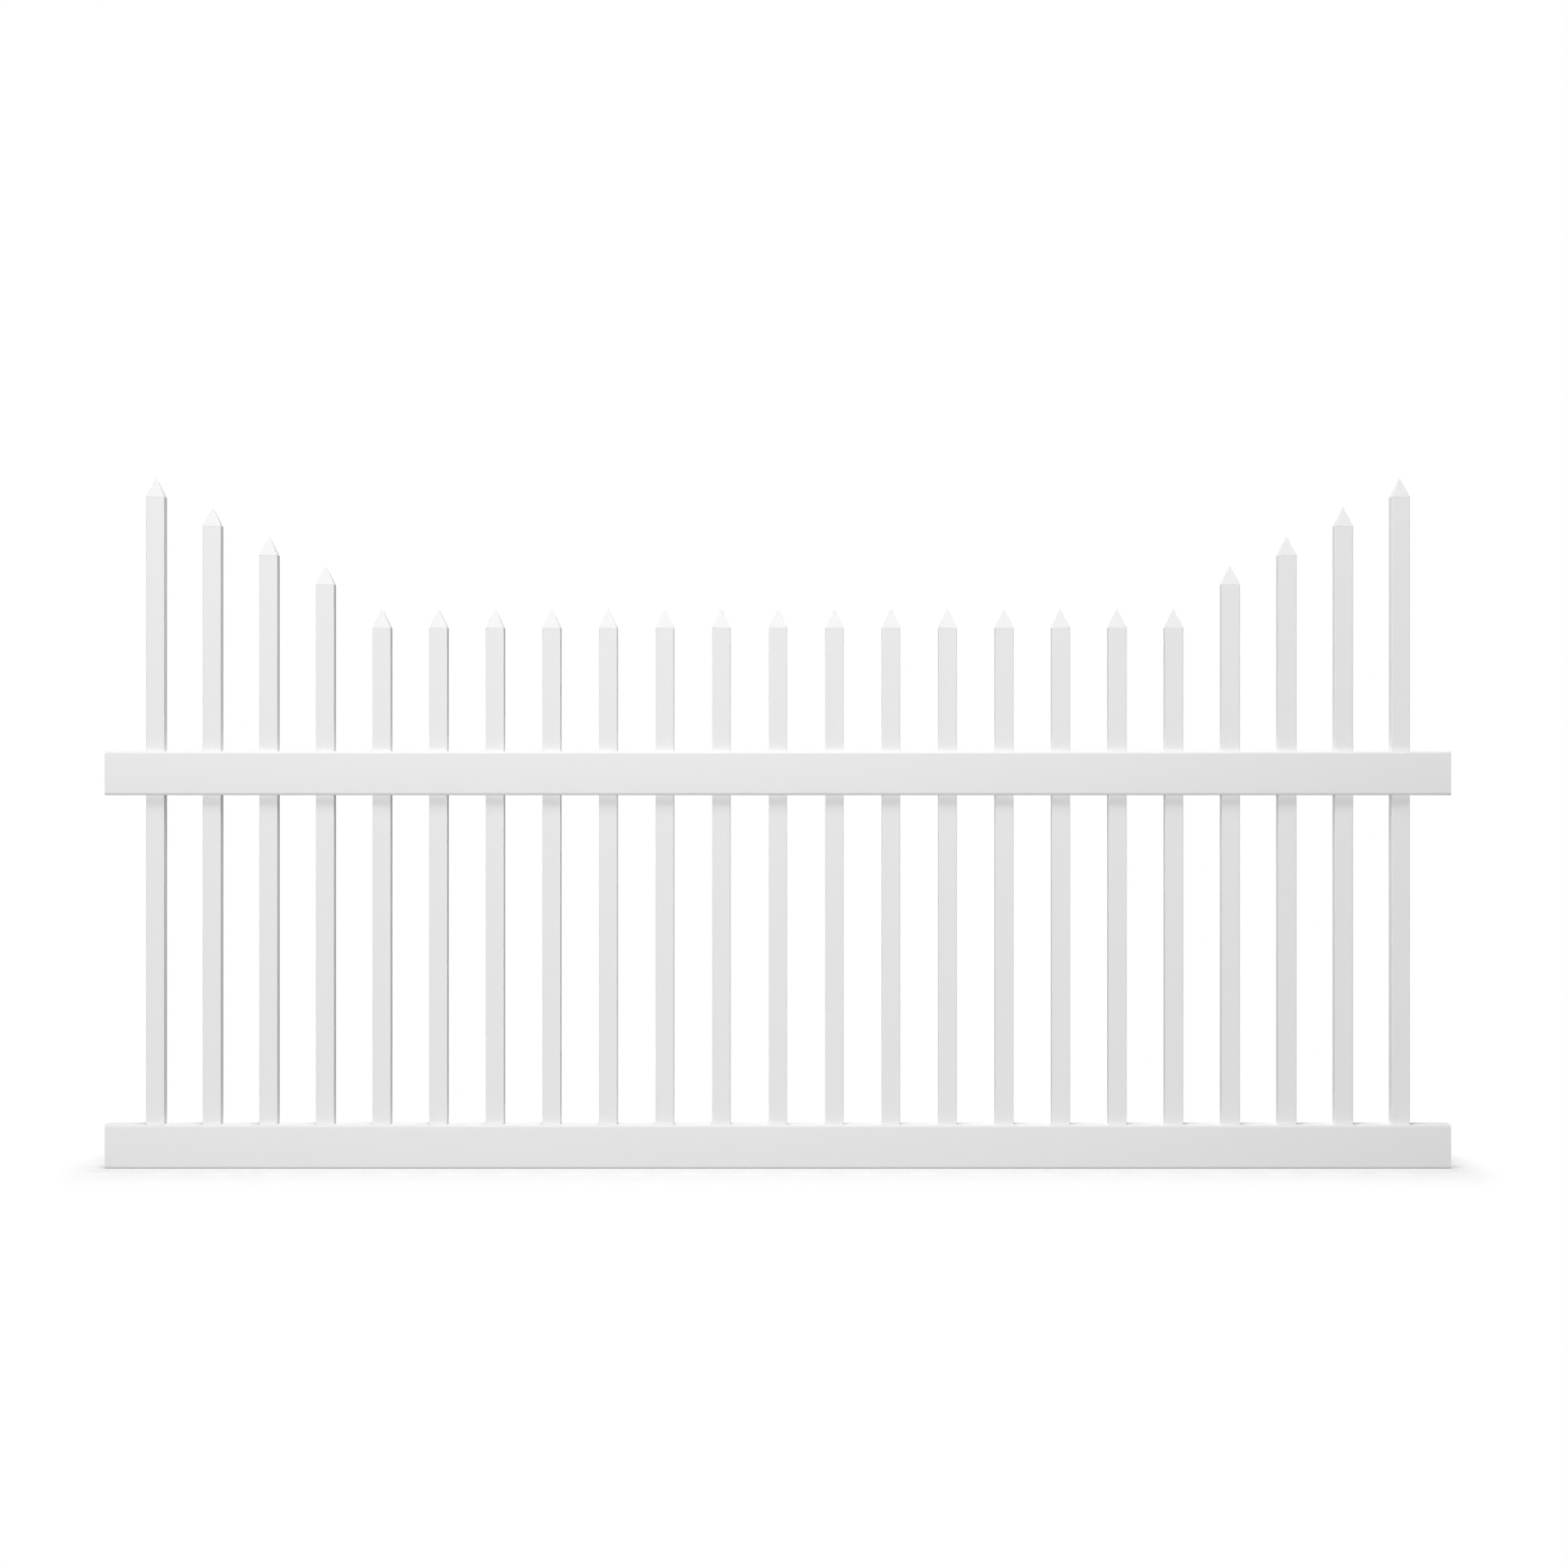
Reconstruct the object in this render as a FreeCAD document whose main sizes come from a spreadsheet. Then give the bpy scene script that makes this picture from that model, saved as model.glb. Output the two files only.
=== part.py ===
import FreeCAD, Part
import math
import os
import Sketcher

# White vinyl picket fence panel, in millimetres.
# Two hollow rails are routed for a row of square tube pickets, and each picket is closed by a pyramid cap.
# The pickets stand on the floor of the bottom rail and pass right through the top rail.
# X runs along the rails from their left ends, Y through the panel's depth from its middle plane,
# and Z up from the underside of the bottom rail.

os.makedirs("parts", exist_ok=True)
doc = FreeCAD.newDocument("picket_fence_panel")

# Driving dimensions, each with what it measures
dimensions = [
    ("panel_height", 1239.5, "underside of the bottom rail to the tips of the end caps"),
    ("rail_length", 2413, "a rail from end to end"),
    ("rail_depth", 50.8, "a rail from front to back"),
    ("rail_height", 78.6, "a rail from underside to top"),
    ("rail_wall", 2.0, "wall of a rail"),
    ("rail_corner", 4.8, "outer corner radius of a rail"),
    ("rail_gap", 591, "clear height between the rails"),
    ("picket_width", 32.6, "side of a square picket"),
    ("picket_wall", 1.4, "wall of a picket"),
    ("picket_corner", 1.2, "outer corner radius of a picket"),
    ("picket_inner_corner", 0.6, "inner corner radius of a picket"),
    ("picket_count", 23, "pickets in the panel"),
    ("end_margin", 88.9, "rail end to the middle of the nearest picket"),
    ("route_clearance", 0.3, "room round a picket in its routed hole, on each side"),
    ("sweep_count", 4, "rising pickets at each end of the panel"),
    ("sweep_first_rise", 77.7, "level picket to the lowest rising picket"),
    ("sweep_step_rise", 52.6, "each rising picket to the next"),
    ("cap_height", 34.8, "pyramid of a cap"),
    ("cap_tip", 1.2, "flat tip of a cap"),
    ("cap_crown", 5, "solid tip above a cap's hollow"),
    ("plug_length", 20, "plug of a cap, inside the picket"),
    ("plug_wall", 1.5, "wall of the plug"),
    ("plug_clearance", 0.2, "room round the plug, on each side"),
]
sheet = doc.addObject("Spreadsheet::Sheet", "Sizes")
for row, (alias, value, meaning) in enumerate(dimensions, start=1):
    sheet.set(f"A{row}", meaning)
    sheet.set(f"B{row}", str(value))
    sheet.setAlias(f"B{row}", alias)
doc.recompute()

picket_count = int(sheet.picket_count)
sweep_count = int(sheet.sweep_count)

# Sizes that follow from the driving dimensions.
# A 45 degree flat that touches a rounded corner of radius 1 at its middle has legs of corner_flat.
picket_pitch = "((Sizes.rail_length - 2 * Sizes.end_margin) / (Sizes.picket_count - 1))"
top_rail_base = "(Sizes.rail_height + Sizes.rail_gap)"
sweep_rise = "(Sizes.sweep_first_rise + (Sizes.sweep_count - 1) * Sizes.sweep_step_rise)"
level_top = f"(Sizes.panel_height - Sizes.cap_height - {sweep_rise})"
rail_hollow_depth = "(Sizes.rail_depth - 2 * Sizes.rail_wall)"
rail_hollow_height = "(Sizes.rail_height - 2 * Sizes.rail_wall)"
rail_hollow_corner = "(Sizes.rail_corner - Sizes.rail_wall)"
route_width = "(Sizes.picket_width + 2 * Sizes.route_clearance)"
corner_flat = "(2 - sqrt(2))"
route_chamfer = f"({corner_flat} * (Sizes.picket_corner + Sizes.route_clearance))"
cap_chamfer = f"({corner_flat} * Sizes.picket_corner)"
picket_hollow = "(Sizes.picket_width - 2 * Sizes.picket_wall)"
plug_width = f"({picket_hollow} - 2 * Sizes.plug_clearance)"
plug_hollow = f"({plug_width} - 2 * Sizes.plug_wall)"


def add_body(label):
    body = doc.addObject("PartDesign::Body", label)
    body.Label = label
    return body


def origin_feature(body, role):
    return next(item for item in body.Origin.OriginFeatures if item.Role == role)


def attach(feature, body, plane_role):
    feature.AttachmentSupport = (origin_feature(body, plane_role), [""])
    feature.MapMode = "FlatFace"


def add_sketch(body, name, plane_role):
    sketch = body.newObject("Sketcher::SketchObject", name)
    attach(sketch, body, plane_role)
    return sketch


def add_dimension(sketch, name, expression, constraint):
    index = sketch.addConstraint(constraint)
    sketch.renameConstraint(index, name)
    sketch.setExpression(f"Constraints.{name}", expression)


# Joins points into a closed outline of straight lines, and returns the lines' numbers.
def draw_outline(sketch, points):
    lines = []
    for start, end in zip(points, points[1:] + points[:1]):
        line = Part.LineSegment(FreeCAD.Vector(*start), FreeCAD.Vector(*end))
        lines.append(sketch.addGeometry(line, False))
    corners = [Sketcher.Constraint("Coincident", line, 2, lines[(turn + 1) % len(lines)], 1)
               for turn, line in enumerate(lines)]
    sketch.addConstraint(corners)
    return lines


# Draws a rounded rectangle about the sketch's origin: four sides joined by four tangent arcs.
def draw_rounded_rectangle(sketch, name, width, height, corner):
    radius = sketch.evalExpression(corner)
    reach_x = sketch.evalExpression(width) / 2 - radius
    reach_y = sketch.evalExpression(height) / 2 - radius
    middles = [(reach_x, -reach_y), (reach_x, reach_y), (-reach_x, reach_y), (-reach_x, -reach_y)]
    arcs = []
    for turn, (x, y) in enumerate(middles):
        circle = Part.Circle(FreeCAD.Vector(x, y, 0), FreeCAD.Vector(0, 0, 1), radius)
        start = (turn - 1) * math.pi / 2
        arcs.append(sketch.addGeometry(Part.ArcOfCircle(circle, start, start + math.pi / 2), False))
    sides = []
    joins = []
    for turn, arc in enumerate(arcs):
        next_arc = arcs[(turn + 1) % 4]
        line = Part.LineSegment(sketch.Geometry[arc].EndPoint, sketch.Geometry[next_arc].StartPoint)
        side = sketch.addGeometry(line, False)
        joins.append(Sketcher.Constraint("Tangent", arc, 2, side, 1))
        joins.append(Sketcher.Constraint("Tangent", side, 2, next_arc, 1))
        joins.append(Sketcher.Constraint("Vertical" if turn % 2 == 0 else "Horizontal", side))
        sides.append(side)
    for arc in arcs[1:]:
        joins.append(Sketcher.Constraint("Equal", arcs[0], arc))
    joins.append(Sketcher.Constraint("Symmetric", arcs[3], 3, arcs[1], 3, -1, 1))
    sketch.addConstraint(joins)
    right, top, left, bottom = sides
    across = Sketcher.Constraint("DistanceX", left, 1, right, 1, 2 * (reach_x + radius))
    upward = Sketcher.Constraint("DistanceY", bottom, 1, top, 1, 2 * (reach_y + radius))
    add_dimension(sketch, f"{name}_width", width, across)
    add_dimension(sketch, f"{name}_height", height, upward)
    add_dimension(sketch, f"{name}_corner", corner, Sketcher.Constraint("Radius", arcs[0], radius))


def draw_rounded_square(sketch, name, width, corner):
    draw_rounded_rectangle(sketch, name, width, width, corner)


# Draws a square about the sketch's origin whose corners are cut off at 45 degrees.
# Its points run counter-clockwise from the right end of the lower side.
def draw_chamfered_square(sketch, name, width, chamfer):
    half = sketch.evalExpression(width) / 2
    leg = sketch.evalExpression(chamfer)
    reach = half - leg
    points = [(reach, -half), (half, -reach), (half, reach), (reach, half),
              (-reach, half), (-half, reach), (-half, -reach), (-reach, -half)]
    lines = draw_outline(sketch, points)
    mirrored_across = [(0, 7), (1, 6), (2, 5), (3, 4)]
    mirrored_upward = [(0, 3), (1, 2)]
    symmetry = [Sketcher.Constraint("Symmetric", lines[a], 1, lines[b], 1, -2) for a, b in mirrored_across]
    symmetry += [Sketcher.Constraint("Symmetric", lines[a], 1, lines[b], 1, -1) for a, b in mirrored_upward]
    sketch.addConstraint(symmetry)
    across = Sketcher.Constraint("DistanceX", lines[6], 1, lines[1], 1, 2 * half)
    upward = Sketcher.Constraint("DistanceY", lines[0], 1, lines[3], 1, 2 * half)
    add_dimension(sketch, f"{name}_width", width, across)
    add_dimension(sketch, f"{name}_height", width, upward)
    add_dimension(sketch, f"{name}_leg_across", chamfer,
                  Sketcher.Constraint("DistanceX", lines[0], 1, lines[0], 2, leg))
    add_dimension(sketch, f"{name}_leg_upward", chamfer,
                  Sketcher.Constraint("DistanceY", lines[0], 1, lines[0], 2, leg))


# Draws what one slope of a cap takes off its block: a triangle from the tip's edge out and down to the base.
def draw_slope(sketch):
    tip = sheet.cap_tip / 2
    foot = sheet.picket_width / 2
    lines = draw_outline(sketch, [(tip, sheet.cap_height), (foot, 0), (foot, sheet.cap_height)])
    incline, side, rim = lines
    sketch.addConstraint([
        Sketcher.Constraint("Vertical", side),
        Sketcher.Constraint("Horizontal", rim),
        Sketcher.Constraint("PointOnObject", incline, 2, -1),
    ])
    add_dimension(sketch, "tip", "Sizes.cap_tip / 2",
                  Sketcher.Constraint("DistanceX", -1, 1, incline, 1, tip))
    add_dimension(sketch, "rise", "Sizes.cap_height",
                  Sketcher.Constraint("DistanceY", -1, 1, incline, 1, sheet.cap_height))
    add_dimension(sketch, "foot", "Sizes.picket_width / 2",
                  Sketcher.Constraint("DistanceX", -1, 1, incline, 2, foot))


def add_pad(body, name, sketch, length):
    pad = body.newObject("PartDesign::Pad", name)
    pad.Profile = sketch
    pad.setExpression("Length", length)
    body.Tip = pad
    return pad


# A hollow rail, routed from above for every picket.
# The cut goes down from the rail's top by route_depth, through as many walls as it meets.
# Small flats close the corners of each hole round the picket's own rounded corners.
def make_rail(label, base, route_depth, routed_walls):
    body = add_body(label)
    profile = add_sketch(body, f"{label}_profile", "YZ_Plane")
    profile.setExpression("AttachmentOffset.Base.y", "Sizes.rail_height / 2")
    draw_rounded_rectangle(profile, "outside", "Sizes.rail_depth", "Sizes.rail_height", "Sizes.rail_corner")
    draw_rounded_rectangle(profile, "hollow", rail_hollow_depth, rail_hollow_height, rail_hollow_corner)
    extrusion = add_pad(body, f"{label}_extrusion", profile, "Sizes.rail_length")

    route = add_sketch(body, f"{label}_route", "XY_Plane")
    route.setExpression("AttachmentOffset.Base.x", "Sizes.end_margin")
    route.setExpression("AttachmentOffset.Base.z", "Sizes.rail_height")
    draw_chamfered_square(route, "hole", route_width, route_chamfer)
    doc.recompute()
    pocket = body.newObject("PartDesign::Pocket", f"{label}_first_hole")
    pocket.Profile = route
    pocket.setExpression("Length", route_depth)
    body.Tip = pocket
    doc.recompute()
    row = body.newObject("PartDesign::LinearPattern", f"{label}_holes")
    row.Originals = [pocket]
    row.Direction = (route, ["H_Axis"])
    row.Mode = "Extent"
    row.setExpression("Length", "Sizes.rail_length - 2 * Sizes.end_margin")
    row.setExpression("Occurrences", "Sizes.picket_count")
    body.Tip = row
    body.setExpression("Placement.Base.z", base)
    doc.recompute()

    side = route.evalExpression(route_width)
    hole_area = side ** 2 - 2 * route.evalExpression(route_chamfer) ** 2
    expected = picket_count * routed_walls * hole_area * sheet.rail_wall
    removed = extrusion.Shape.Volume - row.Shape.Volume
    if not math.isclose(removed, expected, rel_tol=0.001):
        raise RuntimeError(f"{label}: the routing took {removed:.1f} mm3 and not {expected:.1f} mm3")
    return body


# A square tube that stands on the floor of the bottom rail and ends under its cap.
def make_picket(label, position, top):
    body = add_body(label)
    profile = add_sketch(body, f"{label}_profile", "XY_Plane")
    draw_rounded_square(profile, "outside", "Sizes.picket_width", "Sizes.picket_corner")
    draw_rounded_square(profile, "hollow", picket_hollow, "Sizes.picket_inner_corner")
    add_pad(body, f"{label}_extrusion", profile, f"{top} - Sizes.rail_wall")
    body.setExpression("Placement.Base.x", position)
    body.setExpression("Placement.Base.z", "Sizes.rail_wall")
    return body


# A moulded cap: a hollow pyramid, flush with the picket, on a plug that slides into the tube.
# Four slopes cut the pyramid from a block as wide as the picket, with a flat at each rounded corner.
def make_cap(label, position, top):
    body = add_body(label)
    base = add_sketch(body, f"{label}_base", "XY_Plane")
    draw_chamfered_square(base, "base", "Sizes.picket_width", cap_chamfer)
    block = add_pad(body, f"{label}_block", base, "Sizes.cap_height")
    slope = add_sketch(body, f"{label}_slope", "XZ_Plane")
    draw_slope(slope)
    cut = body.newObject("PartDesign::Pocket", f"{label}_first_slope")
    cut.Profile = slope
    cut.SideType = "Symmetric"
    cut.setExpression("Length", "Sizes.picket_width")
    slopes = body.newObject("PartDesign::PolarPattern", f"{label}_slopes")
    slopes.Originals = [cut]
    slopes.Axis = (origin_feature(body, "Z_Axis"), [""])
    slopes.Angle = 360
    slopes.Occurrences = 4
    body.Tip = slopes

    plug = add_sketch(body, f"{label}_plug_profile", "XY_Plane")
    draw_chamfered_square(plug, "outside", plug_width, "Sizes.picket_inner_corner")
    draw_chamfered_square(plug, "hollow", plug_hollow, "Sizes.picket_inner_corner")
    plug_pad = add_pad(body, f"{label}_plug", plug, "Sizes.plug_length")
    plug_pad.Reversed = True

    hollow = body.newObject("PartDesign::SubtractiveWedge", f"{label}_hollow")
    attach(hollow, body, "XZ_Plane")
    for side, sign in (("min", "-"), ("max", "")):
        hollow.setExpression(f"X{side}", f"{sign}{plug_hollow} / 2")
        hollow.setExpression(f"Z{side}", f"{sign}{plug_hollow} / 2")
        hollow.setExpression(f"X2{side}", f"{sign}Sizes.cap_tip / 2")
        hollow.setExpression(f"Z2{side}", f"{sign}Sizes.cap_tip / 2")
    hollow.Ymin = 0
    hollow.setExpression("Ymax", "Sizes.cap_height - Sizes.cap_crown")
    body.Tip = hollow
    body.setExpression("Placement.Base.x", position)
    body.setExpression("Placement.Base.z", top)
    cap_cuts.extend([(block, slopes), (plug_pad, hollow)])
    return body


# Features of the caps before and after a cut
cap_cuts = []

# Rails
sub_parts = [
    make_rail("bottom_rail", "0", "Sizes.rail_height / 2", 1),
    make_rail("top_rail", top_rail_base, "Sizes.rail_height", 2),
]

# Pickets and caps, level in the middle and rising in steps towards both ends
for index in range(picket_count):
    number = f"{index + 1:02d}"
    position = f"Sizes.end_margin + {index} * {picket_pitch}"
    steps = sweep_count - min(index, picket_count - 1 - index)
    top = level_top
    if steps > 0:
        top = f"({level_top} + Sizes.sweep_first_rise + {steps - 1} * Sizes.sweep_step_rise)"
    sub_parts.append(make_picket(f"picket_{number}", position, top))
    sub_parts.append(make_cap(f"picket_cap_{number}", position, top))
doc.recompute()

# Every object has to be sound before any file is written
for item in doc.Objects:
    if "Invalid" in item.State or "Error" in item.State:
        raise RuntimeError(f"{item.Label} failed: {item.State}")
for before, after in cap_cuts:
    if after.Shape.Volume >= before.Shape.Volume:
        raise RuntimeError(f"{after.Label} cut nothing")
for body in sub_parts:
    if body.Shape.isNull() or not body.Shape.isValid() or len(body.Shape.Solids) != 1:
        raise RuntimeError(f"{body.Label} is not one sound solid")
for body in sub_parts:
    body.Shape.exportStep(f"parts/{body.Label}.step")
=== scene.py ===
# White vinyl picket fence panel: finishes, pyramid caps, studio and camera.
import math

import bmesh
import bpy
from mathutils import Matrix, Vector


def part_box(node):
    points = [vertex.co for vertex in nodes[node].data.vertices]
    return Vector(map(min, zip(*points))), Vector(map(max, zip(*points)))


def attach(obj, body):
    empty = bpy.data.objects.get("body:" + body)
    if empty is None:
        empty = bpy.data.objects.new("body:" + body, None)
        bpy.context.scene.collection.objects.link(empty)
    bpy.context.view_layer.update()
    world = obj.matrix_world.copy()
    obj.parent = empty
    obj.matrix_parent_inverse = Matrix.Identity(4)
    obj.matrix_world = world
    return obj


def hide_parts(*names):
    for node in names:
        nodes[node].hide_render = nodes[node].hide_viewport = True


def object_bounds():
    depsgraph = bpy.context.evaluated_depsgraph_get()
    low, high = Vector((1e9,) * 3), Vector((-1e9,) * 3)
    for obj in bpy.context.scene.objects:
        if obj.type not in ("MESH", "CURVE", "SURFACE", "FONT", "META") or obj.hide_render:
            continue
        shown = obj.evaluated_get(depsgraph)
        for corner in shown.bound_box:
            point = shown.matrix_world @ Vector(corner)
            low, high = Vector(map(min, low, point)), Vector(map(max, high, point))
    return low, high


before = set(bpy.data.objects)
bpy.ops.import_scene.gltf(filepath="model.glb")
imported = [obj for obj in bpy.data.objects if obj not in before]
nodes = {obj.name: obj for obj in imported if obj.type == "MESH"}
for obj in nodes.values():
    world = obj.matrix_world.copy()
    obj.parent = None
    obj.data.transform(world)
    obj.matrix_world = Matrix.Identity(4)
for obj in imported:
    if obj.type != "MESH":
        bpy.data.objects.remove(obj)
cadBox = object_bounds()
print("panel loaded:", len(nodes), "nodes")

scene = bpy.context.scene
scene.view_settings.view_transform = "Standard"

picketNames = sorted(name for name in nodes if name.startswith("picket_") and "cap" not in name)
capNames = sorted(name for name in nodes if name.startswith("picket_cap_"))
railNames = ["bottom_rail", "top_rail"]

panelLow, panelHigh = cadBox
panelMiddle = (Vector(panelLow) + Vector(panelHigh)) / 2
panelLength = panelHigh[0] - panelLow[0]
lowRail, highRail = [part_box(name) for name in railNames]


# Shader sockets with arithmetic
class Wire:
    def __init__(self, socket):
        self.socket = socket

    def out(self, name):  # another output of the same node
        return Wire(pickSocket(self.socket.node.outputs, name))

    def maths(self, operation, other=0, swapped=False):
        pair = (other, self) if swapped else (self, other)
        tree = ShaderTree(self.socket.id_data)
        return tree.node("ShaderNodeMath", {"operation": operation}, {0: pair[0], 1: pair[1]})

    def __add__(self, other):
        return self.maths("ADD", other)

    def __sub__(self, other):
        return self.maths("SUBTRACT", other)

    def __rsub__(self, other):
        return self.maths("SUBTRACT", other, True)

    def __mul__(self, other):
        return self.maths("MULTIPLY", other)

    def __gt__(self, other):
        return self.maths("GREATER_THAN", other)

    def __abs__(self):
        return self.maths("ABSOLUTE")

    __radd__ = __add__
    __rmul__ = __mul__


def pickSocket(sockets, key):
    if isinstance(key, int):
        return sockets[key]
    return next(socket for socket in sockets if socket.name == key and socket.enabled)


class ShaderTree:
    def __init__(self, tree):
        self.tree = tree

    def node(self, kind, settings=None, inputs=None):
        made = self.tree.nodes.new(kind)
        for name, value in (settings or {}).items():
            setattr(made, name, value)
        for key, value in (inputs or {}).items():
            socket = pickSocket(made.inputs, key)
            if isinstance(value, Wire):
                self.tree.links.new(value.socket, socket)
            else:
                socket.default_value = value
        return Wire(next((socket for socket in made.outputs if socket.enabled), None))

    def noise(self, vector, scale, detail):
        return self.node("ShaderNodeTexNoise", {"noise_dimensions": "3D"},
                         {"Vector": vector, "Scale": scale, "Detail": detail})

    def stretched(self, vector, scales):
        return self.node("ShaderNodeVectorMath", {"operation": "MULTIPLY"}, {0: vector, 1: scales})

    def blend(self, factor, first, second):
        return self.node("ShaderNodeMix", {"data_type": "RGBA"},
                         {"Factor": factor, "A": first, "B": second})


def emptyTree(owner):
    owner.use_nodes = True
    owner.node_tree.nodes.clear()
    return ShaderTree(owner.node_tree)


# What all the vinyl shares
vinyl = {
    "refraction": 1.52,
    "specularLevel": 0.35,
    "grainRoughness": 0.12,      # how far the grain swings the roughness
    "streakRoughness": 0.06,     # and how far die lines or flow marks do
    "noiseMiddle": 0.5,
}


def swing(noise, amount):
    return (noise - vinyl["noiseMiddle"]) * amount


def vinylSurface(tree, colour, roughness, height):
    bump = tree.node("ShaderNodeBump", None, {"Strength": 1.0, "Distance": 1.0, "Height": height})
    finish = tree.node("ShaderNodeBsdfPrincipled", None, {
        "Base Color": colour,
        "Roughness": roughness,
        "IOR": vinyl["refraction"],
        "Specular IOR Level": vinyl["specularLevel"],
        "Normal": bump,
    })
    tree.node("ShaderNodeOutputMaterial", None, {"Surface": finish})


# Extruded vinyl of the rails and pickets
railVinyl = {
    "colour": (0.885, 0.885, 0.882, 1),
    "streakColour": (0.868, 0.868, 0.863, 1),
    "roughness": 0.6,
    "alongAxis": 0,              # the extrusion runs along X
    "dieLinesPerMetre": 230.0,
    "dieLineDepth": 0.00002,
    "rippleDepth": 0.00012,
    "grainDepth": 0.000004,
    "crownDepth": 0.0006,        # bow of a rail's face between its edges
}
picketVinyl = dict(railVinyl, alongAxis=2, dieLinesPerMetre=310.0, crownDepth=0)
extrusion = {
    "dieLineDrift": 0.8,         # changes a metre along a die line
    "dieLineDetail": 3.0,
    "ripplePerMetre": 9.0,
    "rippleDetail": 1.0,
    "grainPerMetre": 1500.0,
    "grainDetail": 2.0,
    "streakShare": 0.5,          # die lines against ripple in the colour
    "cutEndFacing": 0.9,         # a face this much along the extrusion is a cut end
    "sawLinesPerMetre": 700.0,
    "sawLineDrift": 6.0,         # changes a metre along a saw line, which runs along Y
    "sawDetail": 2.0,
    "sawDepth": 0.00004,
    "sawRoughness": 0.2,
}


# 1 along the middle of each rail's face, 0 at its edges
def railCrown(tree, place):
    height = tree.node("ShaderNodeSeparateXYZ", None, {0: place}).out("Z")
    lowMiddle, highMiddle = [(low.z + high.z) / 2 for low, high in (lowRail, highRail)]
    halfHeight = (lowRail[1].z - lowRail[0].z) / 2
    onHighRail = height > (lowMiddle + highMiddle) / 2
    across = (height - lowMiddle - onHighRail * (highMiddle - lowMiddle)) * (1 / halfHeight)
    return 1 - across * across


def extrudedVinyl(name, look):
    material = bpy.data.materials.new(name)
    tree = emptyTree(material)
    texture = tree.node("ShaderNodeTexCoord")
    place = texture.out("Object")
    dieScales = [look["dieLinesPerMetre"]] * 3
    dieScales[look["alongAxis"]] = extrusion["dieLineDrift"]
    dieLines = tree.noise(tree.stretched(place, dieScales), 1.0, extrusion["dieLineDetail"])
    ripple = tree.noise(place, extrusion["ripplePerMetre"], extrusion["rippleDetail"])
    grain = tree.noise(place, extrusion["grainPerMetre"], extrusion["grainDetail"])
    # cut ends face along the extrusion and keep the saw's lines
    normal = tree.node("ShaderNodeSeparateXYZ", None, {0: texture.out("Normal")})
    cutEnd = abs(normal.out("XYZ"[look["alongAxis"]])) > extrusion["cutEndFacing"]
    sawScales = [extrusion["sawLinesPerMetre"]] * 3
    sawScales[1] = extrusion["sawLineDrift"]
    sawLines = tree.noise(tree.stretched(place, sawScales), 1.0, extrusion["sawDetail"])
    streaks = dieLines * extrusion["streakShare"] + ripple * (1 - extrusion["streakShare"])
    colour = tree.blend(streaks, look["colour"], look["streakColour"])
    roughness = (look["roughness"] + swing(grain, vinyl["grainRoughness"])
                 + swing(dieLines, vinyl["streakRoughness"]) + cutEnd * extrusion["sawRoughness"])
    height = (dieLines * look["dieLineDepth"] * (1 - cutEnd) + ripple * look["rippleDepth"]
              + grain * look["grainDepth"] + sawLines * cutEnd * extrusion["sawDepth"])
    if look["crownDepth"]:
        height = height + railCrown(tree, place) * look["crownDepth"]
    vinylSurface(tree, colour, roughness, height)
    return material


# Moulded vinyl of the caps
capVinyl = {
    # painted shade: both cap colours are set darker than the rails' white so that the caps, lit most by
    # the overhead light, stay below white
    "colour": (0.835, 0.835, 0.832, 1),
    "flowColour": (0.822, 0.822, 0.818, 1),
    "roughness": 0.55,
    "flowPerMetre": 60.0,
    "flowDetail": 2.0,
    "grainPerMetre": 2200.0,
    "grainDetail": 2.0,
    "grainDepth": 0.000004,
}


def mouldedVinyl(name, look):
    material = bpy.data.materials.new(name)
    tree = emptyTree(material)
    place = tree.node("ShaderNodeTexCoord").out("Object")
    flow = tree.noise(place, look["flowPerMetre"], look["flowDetail"])
    grain = tree.noise(place, look["grainPerMetre"], look["grainDetail"])
    colour = tree.blend(flow, look["colour"], look["flowColour"])
    roughness = (look["roughness"] + swing(grain, vinyl["grainRoughness"])
                 + swing(flow, vinyl["streakRoughness"]))
    vinylSurface(tree, colour, roughness, grain * look["grainDepth"])
    return material


railMaterial = extrudedVinyl("railVinyl", railVinyl)
picketMaterial = extrudedVinyl("picketVinyl", picketVinyl)
capMaterial = mouldedVinyl("capVinyl", capVinyl)

for name in railNames + picketNames:
    finish = railMaterial if name in railNames else picketMaterial
    for slot in nodes[name].material_slots:
        slot.material = finish
print("vinyl finishes set on", len(railNames) + len(picketNames), "extrusions")


# Pyramid caps with eased hips, a rounded lip and a hollow plug, in metres
capShape = {
    "cornerSteps": 6,
    "baseCorner": 0.0012,        # corner radius at the lip, as on the picket
    "hipCorner": 0.0007,         # radius of the hips, from hipStart up
    "hipStart": 0.10,            # as a share of the slope
    "slopeShares": (0.3, 0.5, 0.7, 0.85, 1),  # rings up the rest of the slope
    "tipCorner": 0.0004,         # corner radius where the point is rounded off
    "tipHalf": 0.0008,           # half-width where the rounded point starts
    "tipSteps": 4,
    "lipRound": 0.0004,
    "lipSteps": 4,
    "plugInset": 0.0016,
    "plugWall": 0.0015,
    "plugCorner": 0.0004,
    "hollowRise": 0.006,
    "sharpAngle": 40,            # degrees between faces that keep a hard edge
}


def squareRing(mesh, middle, height, half, corner, steps):
    ring = []
    flat = half - corner
    for quarter, (signX, signY) in enumerate(((1, 1), (-1, 1), (-1, -1), (1, -1))):
        for step in range(steps + 1):
            angle = math.pi / 2 * (quarter + step / steps)
            x = middle[0] + signX * flat + corner * math.cos(angle)
            y = middle[1] + signY * flat + corner * math.sin(angle)
            ring.append(mesh.verts.new((x, y, height)))
    return ring


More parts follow.
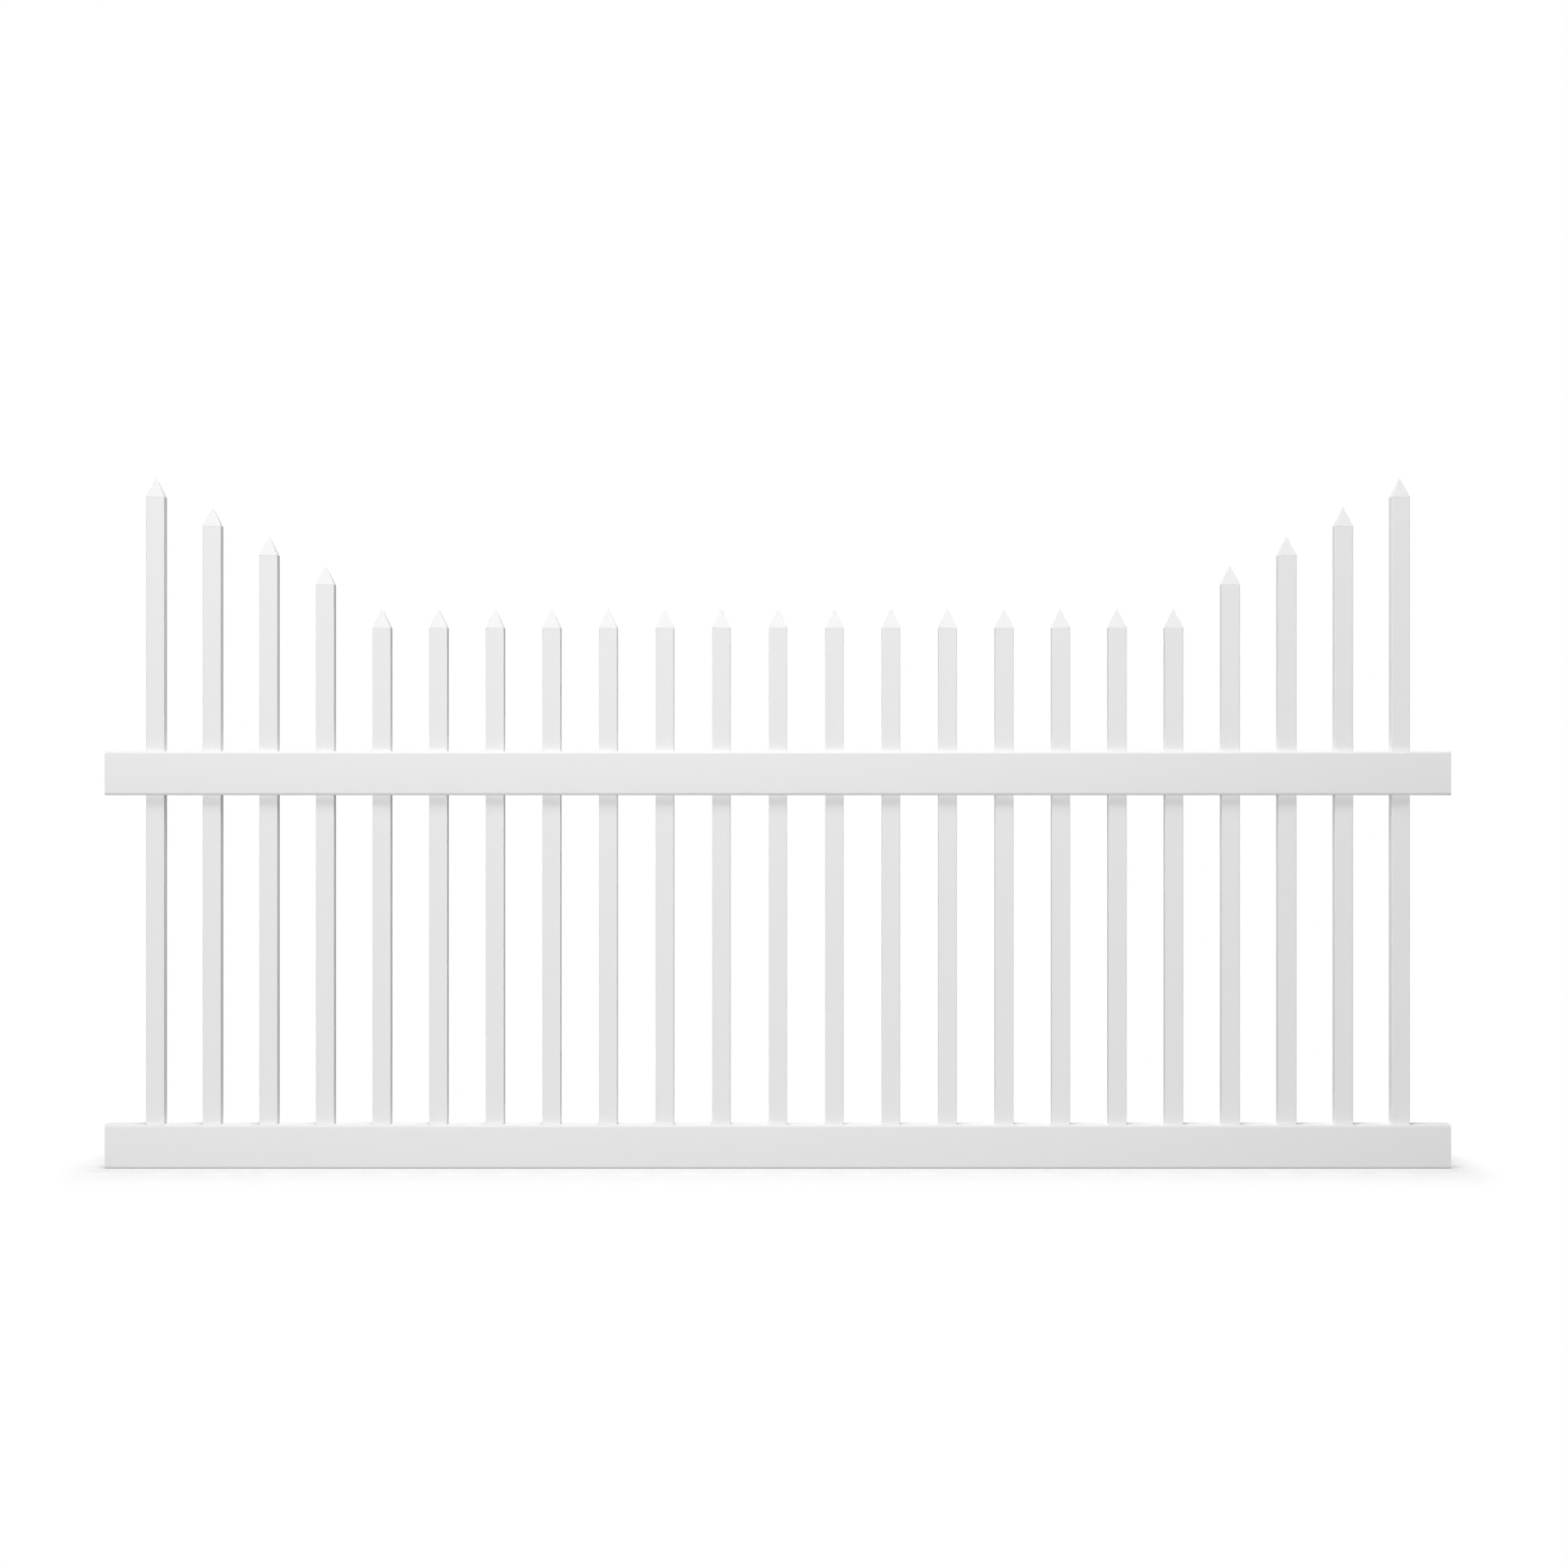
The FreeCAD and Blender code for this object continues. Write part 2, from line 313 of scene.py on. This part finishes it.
# (height over the picket's end, half-width, corner radius) of each ring,
# from the hollow, round the plug and up to the point
def capRings(look, half, plugDepth, rise):
    plugHalf = half - look["plugInset"]
    plugCorner = look["plugCorner"]
    hollowHalf = plugHalf - look["plugWall"]
    tipHalf = look["tipHalf"]
    slope = (half - tipHalf) / rise
    rings = [
        (look["hollowRise"], hollowHalf - look["hollowRise"] * slope, plugCorner),
        (0, hollowHalf, plugCorner),
        (-plugDepth, hollowHalf, plugCorner),
        (-plugDepth, plugHalf, plugCorner),
        (0, plugHalf, plugCorner),
    ]
    # rounded lip, from flat on the picket's end to the slope
    lip = look["lipRound"]
    lipTurn = math.pi / 2 + math.atan(slope)
    for step in range(look["lipSteps"] + 1):
        angle = -math.pi / 2 + lipTurn * step / look["lipSteps"]
        offset = half - lip * (1 - math.cos(angle))
        rings.append((lip + lip * math.sin(angle), offset, look["baseCorner"] - (half - offset)))
    # slope, with the corners drawn in to the hips
    startHeight, startHalf, startCorner = rings[-1]
    tipBase = rise - tipHalf
    hipStart = look["hipStart"]
    for share in (hipStart / 2, hipStart, *look["slopeShares"]):
        height = startHeight + (tipBase - startHeight) * share
        width = startHalf + (tipHalf - startHalf) * share
        if share <= hipStart:
            corner = startCorner + (look["hipCorner"] - startCorner) * share / hipStart
        else:
            taper = (share - hipStart) / (1 - hipStart)
            corner = look["hipCorner"] + (look["tipCorner"] - look["hipCorner"]) * taper
        rings.append((height, width, corner))
    # rounded point
    for step in range(1, look["tipSteps"]):
        angle = math.pi / 2 * step / look["tipSteps"]
        shrink = math.cos(angle)
        rings.append((tipBase + tipHalf * math.sin(angle), tipHalf * shrink, look["tipCorner"] * shrink))
    return rings


def pyramidCap(name, look):
    low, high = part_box(name)
    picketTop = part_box(name.replace("_cap", ""))[1].z
    middle = (low + high) / 2
    rise = high.z - picketTop
    mesh = bmesh.new()
    rings = [
        squareRing(mesh, middle, picketTop + height, half, corner, look["cornerSteps"])
        for height, half, corner in capRings(look, (high.x - low.x) / 2, picketTop - low.z, rise)
    ]
    for lower, upper in zip(rings, rings[1:]):
        for i in range(len(lower)):
            j = (i + 1) % len(lower)
            mesh.faces.new((lower[i], lower[j], upper[j], upper[i]))
    mesh.faces.new(list(reversed(rings[0])))
    point = mesh.verts.new((middle.x, middle.y, high.z))
    last = rings[-1]
    for i in range(len(last)):
        mesh.faces.new((last[i], last[(i + 1) % len(last)], point))
    for face in mesh.faces:
        face.smooth = True
    data = bpy.data.meshes.new(name.replace("picket_cap", "pyramid_cap"))
    mesh.normal_update()
    mesh.to_mesh(data)
    mesh.free()
    data.set_sharp_from_angle(angle=math.radians(look["sharpAngle"]))
    data.materials.append(capMaterial)
    piece = bpy.data.objects.new(data.name, data)
    scene.collection.objects.link(piece)
    weighted = piece.modifiers.new("flatSlopes", "WEIGHTED_NORMAL")
    weighted.keep_sharp = True
    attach(piece, "root")
    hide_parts(name)


for name in capNames:
    pyramidCap(name, capShape)
print("pyramid caps made:", len(capNames))


# Studio floor and surroundings, white to the eye and greyer for bounced light
studio = {
    "floorReach": 30.0,
    "white": (1, 1, 1, 1),
    "bounceGrey": (0.42, 0.42, 0.42, 1),
    "shadowWhite": (0.97, 0.97, 0.97, 1),
    "shadowShare": 0.45,
    "fadeStart": 0.05,
    "fadeWidth": 0.30,
    "endFade": 4,                # the shadow fades this many times faster past the rails' ends
    "ambient": 0.1,
}


def seenDirectly(tree):
    path = tree.node("ShaderNodeLightPath")
    return path.out("Is Camera Ray") + path.out("Is Glossy Ray") + path.out("Is Transmission Ray")


def floorFinish(look):
    material = bpy.data.materials.new("studioFloor")
    tree = emptyTree(material)
    place = tree.node("ShaderNodeSeparateXYZ", None, {0: tree.node("ShaderNodeTexCoord").out("Object")})
    pastEnd = (abs(place.out("X") - panelMiddle.x) - panelLength / 2).maths("MAXIMUM", 0)
    alongGap = pastEnd * look["endFade"]
    distance = (alongGap * alongGap + place.out("Y") * place.out("Y")).maths("SQRT")
    away = tree.node("ShaderNodeMapRange", {"interpolation_type": "SMOOTHSTEP"}, {
        "Value": distance,
        "From Min": look["fadeStart"],
        "From Max": look["fadeStart"] + look["fadeWidth"],
    })
    lit = tree.node("ShaderNodeBsdfDiffuse", None, {"Color": look["shadowWhite"]})
    glow = tree.node("ShaderNodeEmission", None, {"Color": look["white"], "Strength": 1.0})
    glowShare = 1 - look["shadowShare"] * (1 - away)
    seen = tree.node("ShaderNodeMixShader", None, {0: glowShare, 1: lit, 2: glow})
    bounce = tree.node("ShaderNodeBsdfDiffuse", None, {"Color": look["bounceGrey"]})
    finish = tree.node("ShaderNodeMixShader", None, {0: seenDirectly(tree), 1: bounce, 2: seen})
    tree.node("ShaderNodeOutputMaterial", None, {"Surface": finish})
    return material


def makeFloor(look):
    mesh = bmesh.new()
    reach = look["floorReach"]
    corners = [mesh.verts.new((panelMiddle.x + x * reach, y * reach, panelLow[2]))
               for x, y in ((-1, -1), (1, -1), (1, 1), (-1, 1))]
    mesh.faces.new(corners)
    data = bpy.data.meshes.new("studio_floor")
    mesh.to_mesh(data)
    mesh.free()
    data.materials.append(floorFinish(look))
    floor = bpy.data.objects.new("studio_floor", data)
    scene.collection.objects.link(floor)


def makeSurroundings(look):
    world = bpy.data.worlds.new("studioWorld")
    scene.world = world
    tree = emptyTree(world)
    strength = look["ambient"] + seenDirectly(tree) * (1 - look["ambient"])
    background = tree.node("ShaderNodeBackground", None, {"Color": look["white"], "Strength": strength})
    tree.node("ShaderNodeOutputWorld", None, {"Surface": background})


makeFloor(studio)
makeSurroundings(studio)
print("studio floor and surroundings ready")


# Soft boxes: place, aim, width and height in metres, power in watts
panelAim = (1.2, 0, 0.6)         # near the middle of the panel
softBoxes = {
    "overheadSoftBox": {"place": (1.0, -1.3, 4.4), "aim": (1.05, 0, 0.6), "size": (1.2, 1.0), "power": 97},
    "frontSoftBox": {"place": (-0.6, -10.0, 0.9), "aim": panelAim, "size": (3.0, 1.6), "power": 494},
    "leftSoftBox": {"place": (-5.5, 7.0, 2.2), "aim": panelAim, "size": (2.5, 2.5), "power": 175},
    "rightSoftBox": {"place": (8.0, 7.0, 2.2), "aim": panelAim, "size": (2.5, 2.5), "power": 36},
    "backSoftBox": {"place": (1.2, 5.0, 6.2), "aim": panelAim, "size": (3.0, 1.6), "power": 200},
}


def makeSoftBox(name, look):
    data = bpy.data.lights.new(name, "AREA")
    data.shape = "RECTANGLE"
    data.size, data.size_y = look["size"]
    data.energy = look["power"]
    lamp = bpy.data.objects.new(name, data)
    lamp.location = look["place"]
    aim = Vector(look["aim"]) - Vector(look["place"])
    lamp.rotation_euler = aim.to_track_quat("-Z", "Y").to_euler()
    scene.collection.objects.link(lamp)


for name, look in softBoxes.items():
    makeSoftBox(name, look)
print("soft boxes placed:", len(softBoxes))


# Level camera square on to the panel
cameraView = {
    "place": (1.2174, -6.6, 0.6896),
    "frameSide": 1932,           # pixels across the picture
    "focalPixels": 4520.8,       # focal length in those pixels
    "sensor": 36.0,              # millimetres
}


def makeCamera(look):
    data = bpy.data.cameras.new("viewCamera")
    data.sensor_width = look["sensor"]
    data.lens = look["sensor"] * look["focalPixels"] / look["frameSide"]
    camera = bpy.data.objects.new("viewCamera", data)
    camera.location = look["place"]
    camera.rotation_euler = (math.pi / 2, 0, 0)
    scene.collection.objects.link(camera)
    scene.camera = camera


makeCamera(cameraView)
print("camera set")
